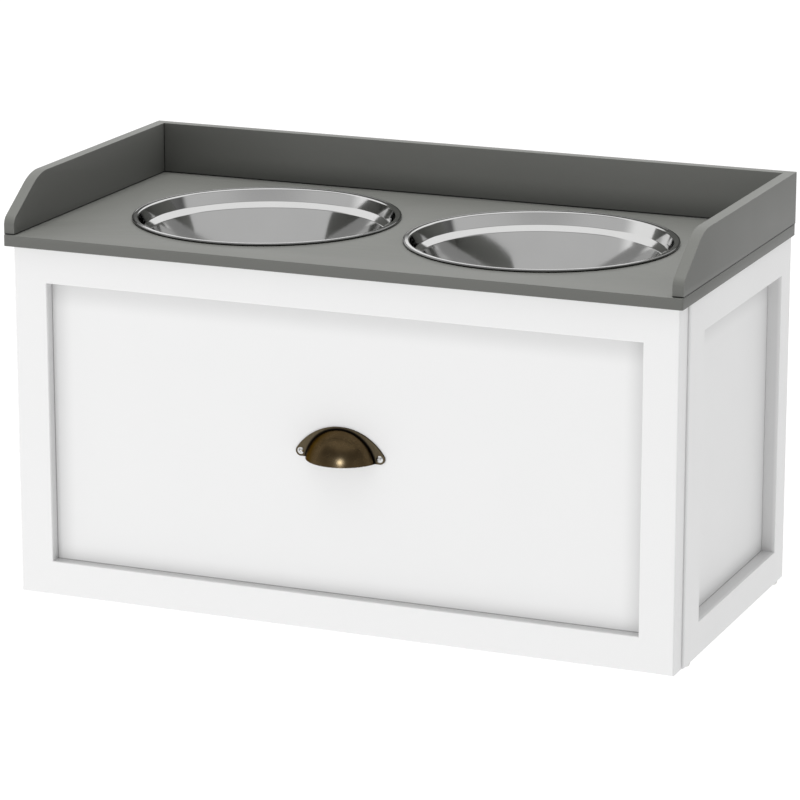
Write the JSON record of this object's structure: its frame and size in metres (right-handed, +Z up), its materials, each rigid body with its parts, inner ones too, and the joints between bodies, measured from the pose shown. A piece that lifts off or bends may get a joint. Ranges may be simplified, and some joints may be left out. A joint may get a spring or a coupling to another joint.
{
  "type": "elevated dog feeder with storage",
  "caption": "Raised dog feeder: lift-out steel bowls in a grey top with a low gallery, over a white panelled cabinet with a wide storage drawer and a cup pull.",
  "frame": {"origin": "on the floor, in the middle of the footprint, which runs from the cup pull's nose to the back edge of the top", "axes": "+X to the feeder's right seen from the front, +Y to the back, +Z up"},
  "size_m": [0.6, 0.3046, 0.3625],
  "materials": {
    "white_paint": "satin white paint on fibreboard",
    "grey_paint": "satin warm grey paint on fibreboard",
    "white_board": "white melamine-faced board",
    "back_board": "thin white-faced fibreboard",
    "beech": "bare fluted dowel",
    "bowl_steel": "mirror-polished stainless steel",
    "aged_bronze": "dark antique bronze",
    "bright_screws": "bright nickel",
    "zinc": "zinc plated",
    "runner_enamel": "white epoxy coat",
    "roller_nylon": "white nylon",
    "glide_plastic": "white plastic"
  },
  "bodies": {
    "root": {"top_board": "grey_paint", "gallery_back": "grey_paint", "gallery_left": "grey_paint", "gallery_right": "grey_paint", "gallery_screws": "zinc", "side_left_front_stile": "white_paint", "side_left_rear_stile": "white_paint", "side_left_top_rail": "white_paint", "side_left_bottom_rail": "white_paint", "side_left_panel": "white_paint", "side_right_front_stile": "white_paint", "side_right_rear_stile": "white_paint", "side_right_top_rail": "white_paint", "side_right_bottom_rail": "white_paint", "side_right_panel": "white_paint", "bottom_board": "white_board", "back_panel": "back_board", "front_stretcher": "white_board", "rear_stretcher": "white_board", "stretcher_dowels": "beech", "cabinet_cam_bolts": "zinc", "cabinet_cam_nuts": "zinc", "top_brackets": "zinc", "bracket_screws": "zinc", "floor_glides": "glide_plastic", "cabinet_runner_left": "runner_enamel", "cabinet_runner_right": "runner_enamel", "cabinet_runner_axles": "zinc", "cabinet_runner_screws": "zinc"},
    "drawer": {"drawer_runner_left": "runner_enamel", "drawer_runner_right": "runner_enamel", "drawer_runner_axles": "zinc", "drawer_runner_screws": "zinc", "drawer_front_stile_left": "white_paint", "drawer_front_stile_right": "white_paint", "drawer_front_top_rail": "white_paint", "drawer_front_bottom_rail": "white_paint", "drawer_front_panel": "white_paint", "drawer_side_left": "white_board", "drawer_side_right": "white_board", "drawer_back": "white_board", "drawer_bottom": "back_board", "drawer_cam_bolts": "zinc", "drawer_cam_nuts": "zinc", "drawer_back_screws": "zinc", "cup_pull": "aged_bronze", "cup_pull_screws": "bright_screws"},
    "front_roller_left": {"front_roller_left": "roller_nylon"},
    "front_roller_right": {"front_roller_right": "roller_nylon"},
    "rear_roller_left": {"rear_roller_left": "roller_nylon"},
    "rear_roller_right": {"rear_roller_right": "roller_nylon"},
    "bowl_left": {"bowl_left": "bowl_steel"},
    "bowl_right": {"bowl_right": "bowl_steel"}
  },
  "joints": [
    {"name": "drawer_slide", "type": "slide", "parent": "root", "child": "drawer", "axis": [0, -1, 0], "range_m": [0, 0.2]},
    {"name": "front_roller_left_spin", "type": "hinge", "parent": "root", "child": "front_roller_left", "pos_m": [-0.2719, -0.10325, 0.0332], "axis": [1, 0, 0], "continuous": true},
    {"name": "front_roller_right_spin", "type": "hinge", "parent": "root", "child": "front_roller_right", "pos_m": [0.2719, -0.10325, 0.0332], "axis": [1, 0, 0], "continuous": true},
    {"name": "rear_roller_left_spin", "type": "hinge", "parent": "drawer", "child": "rear_roller_left", "pos_m": [-0.2719, 0.12075, 0.0372], "axis": [1, 0, 0], "continuous": true},
    {"name": "rear_roller_right_spin", "type": "hinge", "parent": "drawer", "child": "rear_roller_right", "pos_m": [0.2719, 0.12075, 0.0372], "axis": [1, 0, 0], "continuous": true},
    {"name": "bowl_left_lift", "type": "slide", "parent": "root", "child": "bowl_left", "axis": [0, 0, 1], "range_m": [0, 0.1]},
    {"name": "bowl_right_lift", "type": "slide", "parent": "root", "child": "bowl_right", "axis": [0, 0, 1], "range_m": [0, 0.1]}
  ],
  "couplings": [
    {"joint": "front_roller_left_spin", "follows": "drawer_slide", "rad_per_m": 90.909},
    {"joint": "front_roller_right_spin", "follows": "drawer_slide", "rad_per_m": 90.909},
    {"joint": "rear_roller_left_spin", "follows": "drawer_slide", "rad_per_m": 90.909},
    {"joint": "rear_roller_right_spin", "follows": "drawer_slide", "rad_per_m": 90.909}
  ]
}
